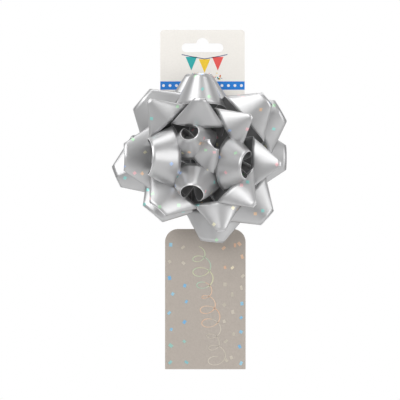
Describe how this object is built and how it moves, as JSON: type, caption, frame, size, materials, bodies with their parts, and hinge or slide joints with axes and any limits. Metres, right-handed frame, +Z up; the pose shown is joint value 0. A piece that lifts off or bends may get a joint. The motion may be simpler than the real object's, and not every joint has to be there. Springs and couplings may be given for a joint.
{
  "type": "gift bow",
  "caption": "Star-shaped silver ribbon bow on a slotted hang card, with a rectangular gift tag swinging from a small moulded loop below it.",
  "frame": {"origin": "where a shop peg carries the card: top of the hang slot, halfway through the card's thickness", "axes": "+Z up as it hangs, +X to the right seen from the front, the bow stands out towards -Y and the card's back faces +Y"},
  "size_m": [0.1332, 0.0647, 0.2612],
  "materials": {
    "ribbon": "satin metallic silver polypropylene ribbon with small iridescent flecks",
    "printed_card": "smooth coated card, printed",
    "liner_paper": "siliconised release paper",
    "foam_pad": "white closed-cell foam, adhesive on both faces",
    "base_board": "plain white board",
    "staple_wire": "galvanised wire",
    "clear_nylon": "clear moulded nylon",
    "tag_board": "matt silver-grey board with iridescent foil print"
  },
  "bodies": {
    "bow_on_card": {"adhesive_pad": "foam_pad", "base_disc": "base_board", "centre_loop_1": "ribbon", "centre_loop_2": "ribbon", "centre_staple": "staple_wire", "hang_card": "printed_card", "inner_loop_1": "ribbon", "inner_loop_2": "ribbon", "inner_loop_3": "ribbon", "inner_loop_4": "ribbon", "middle_loop_1": "ribbon", "middle_loop_2": "ribbon", "middle_loop_3": "ribbon", "middle_loop_4": "ribbon", "middle_loop_5": "ribbon", "middle_loop_6": "ribbon", "middle_loop_7": "ribbon", "middle_loop_8": "ribbon", "middle_loop_9": "ribbon", "outer_loop_1": "ribbon", "outer_loop_2": "ribbon", "outer_loop_3": "ribbon", "outer_loop_4": "ribbon", "outer_loop_5": "ribbon", "outer_loop_6": "ribbon", "outer_loop_7": "ribbon", "outer_loop_8": "ribbon", "release_liner": "liner_paper"},
    "tag_loop": {"tag_loop": "clear_nylon"},
    "gift_tag": {"gift_tag": "tag_board"}
  },
  "joints": [
    {"name": "tag_swing", "type": "hinge", "parent": "bow_on_card", "child": "tag_loop", "pos_m": [0.0022, 0, -0.1304], "axis": [0, 1, 0], "range_deg": [-15, 15]},
    {"name": "tag_tilt", "type": "hinge", "parent": "tag_loop", "child": "gift_tag", "pos_m": [0.0022, 0, -0.147], "axis": [1, 0, 0], "range_deg": [-25, 60]}
  ]
}
